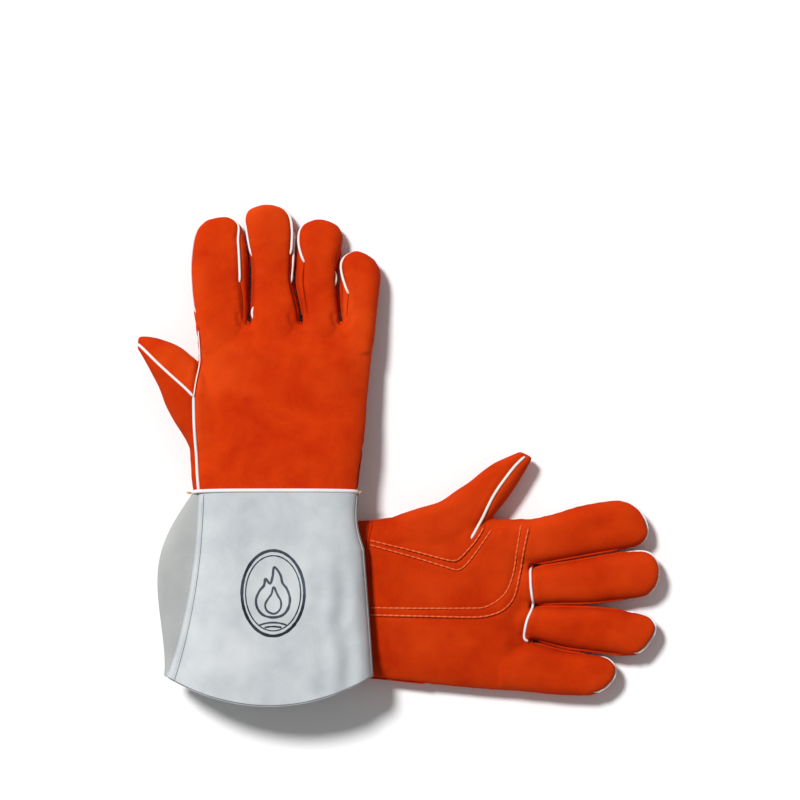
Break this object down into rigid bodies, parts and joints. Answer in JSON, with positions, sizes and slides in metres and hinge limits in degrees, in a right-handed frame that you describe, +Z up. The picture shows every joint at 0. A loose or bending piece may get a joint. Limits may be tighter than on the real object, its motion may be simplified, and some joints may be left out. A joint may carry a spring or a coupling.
{
  "type": "welding gloves",
  "caption": "Leather gauntlet welding gloves, the left palm up and the right back up, with piped seams, patched palms and flared cuffs; the fingers and thumbs curl.",
  "frame": {"origin": "middle of the underside of the whole pair as it lies", "axes": "+Z up from the ground the gloves lie on; +X along the left glove's fingers; +Y along the right glove's fingers"},
  "size_m": [0.3724, 0.3536, 0.0501],
  "materials": {
    "hand_leather": "rough suede, worn smooth at the edges",
    "palm_leather": "rough suede, darker on the palm",
    "cuff_leather": "split cowhide, pale grey and matt",
    "welt_leather": "smooth white leather cord",
    "lining_fleece": "napped cotton"
  },
  "bodies": {
    "left_hand": {"left_hand_back": "hand_leather", "left_hand_palm": "palm_leather", "left_hand_lining": "lining_fleece", "left_wrist_strip": "palm_leather", "left_palm_patch": "palm_leather", "left_thumb_patch": "palm_leather", "left_finger_base_welt": "welt_leather", "left_little_side_welt": "welt_leather", "left_thumb_side_welt": "welt_leather", "left_crotch_welt": "welt_leather", "left_wrist_welt": "welt_leather", "left_cuff_back": "cuff_leather", "left_cuff_palm": "cuff_leather", "left_cuff_little_welt": "welt_leather", "left_cuff_thumb_welt": "welt_leather"},
    "left_index": {"left_index_back": "hand_leather", "left_index_front": "palm_leather", "left_index_welt": "welt_leather"},
    "left_middle": {"left_middle_back": "hand_leather", "left_middle_front": "palm_leather", "left_middle_welt": "welt_leather"},
    "left_ring": {"left_ring_back": "hand_leather", "left_ring_front": "palm_leather", "left_ring_welt": "welt_leather"},
    "left_little": {"left_little_back": "hand_leather", "left_little_front": "palm_leather", "left_little_welt": "welt_leather"},
    "left_thumb": {"left_thumb_back": "hand_leather", "left_thumb_front": "palm_leather", "left_thumb_welt": "welt_leather"},
    "right_hand": {"right_hand_back": "hand_leather", "right_hand_palm": "palm_leather", "right_hand_lining": "lining_fleece", "right_wrist_strip": "palm_leather", "right_palm_patch": "palm_leather", "right_thumb_patch": "palm_leather", "right_finger_base_welt": "welt_leather", "right_little_side_welt": "welt_leather", "right_thumb_side_welt": "welt_leather", "right_crotch_welt": "welt_leather", "right_wrist_welt": "welt_leather", "right_cuff_back": "cuff_leather", "right_cuff_palm": "cuff_leather", "right_cuff_little_welt": "welt_leather", "right_cuff_thumb_welt": "welt_leather"},
    "right_index": {"right_index_back": "hand_leather", "right_index_front": "palm_leather", "right_index_welt": "welt_leather"},
    "right_middle": {"right_middle_back": "hand_leather", "right_middle_front": "palm_leather", "right_middle_welt": "welt_leather"},
    "right_ring": {"right_ring_back": "hand_leather", "right_ring_front": "palm_leather", "right_ring_welt": "welt_leather"},
    "right_little": {"right_little_back": "hand_leather", "right_little_front": "palm_leather", "right_little_welt": "welt_leather"},
    "right_thumb": {"right_thumb_back": "hand_leather", "right_thumb_front": "palm_leather", "right_thumb_welt": "welt_leather"}
  },
  "joints": [
    {"name": "left_index_curl", "type": "hinge", "parent": "left_hand", "child": "left_index", "pos_m": [0.09373, -0.06258, 0.024], "axis": [0, -1, 0], "range_deg": [0, 65]},
    {"name": "left_middle_curl", "type": "hinge", "parent": "left_hand", "child": "left_middle", "pos_m": [0.09373, -0.09333, 0.024], "axis": [0, -1, 0], "range_deg": [0, 65]},
    {"name": "left_ring_curl", "type": "hinge", "parent": "left_hand", "child": "left_ring", "pos_m": [0.09373, -0.11908, 0.024], "axis": [0, -1, 0], "range_deg": [0, 65]},
    {"name": "left_little_curl", "type": "hinge", "parent": "left_hand", "child": "left_little", "pos_m": [0.09373, -0.15008, 0.024], "axis": [0, -1, 0], "range_deg": [0, 65]},
    {"name": "left_thumb_fold", "type": "hinge", "parent": "left_hand", "child": "left_thumb", "pos_m": [0.03673, -0.04166, 0.0235], "axis": [1, 0, 0], "range_deg": [0, 45]},
    {"name": "lift_right_glove", "type": "slide", "parent": "left_hand", "child": "right_hand", "axis": [0, 0, 1], "range_m": [0, 0.15]},
    {"name": "right_index_curl", "type": "hinge", "parent": "right_hand", "child": "right_index", "pos_m": [-0.12452, 0.09163, 0.00534], "axis": [-1, 0, 0], "range_deg": [0, 65]},
    {"name": "right_middle_curl", "type": "hinge", "parent": "right_hand", "child": "right_middle", "pos_m": [-0.08844, 0.09163, 0.00534], "axis": [-1, 0, 0], "range_deg": [0, 65]},
    {"name": "right_ring_curl", "type": "hinge", "parent": "right_hand", "child": "right_ring", "pos_m": [-0.0544, 0.09163, 0.00534], "axis": [-1, 0, 0], "range_deg": [0, 65]},
    {"name": "right_little_curl", "type": "hinge", "parent": "right_hand", "child": "right_little", "pos_m": [-0.02673, 0.09163, 0.00534], "axis": [-1, 0, 0], "range_deg": [0, 65]},
    {"name": "right_thumb_fold", "type": "hinge", "parent": "right_hand", "child": "right_thumb", "pos_m": [-0.14588, 0.03566, 0.01313], "axis": [0, -0.9927, 0.1203], "range_deg": [0, 45]}
  ]
}
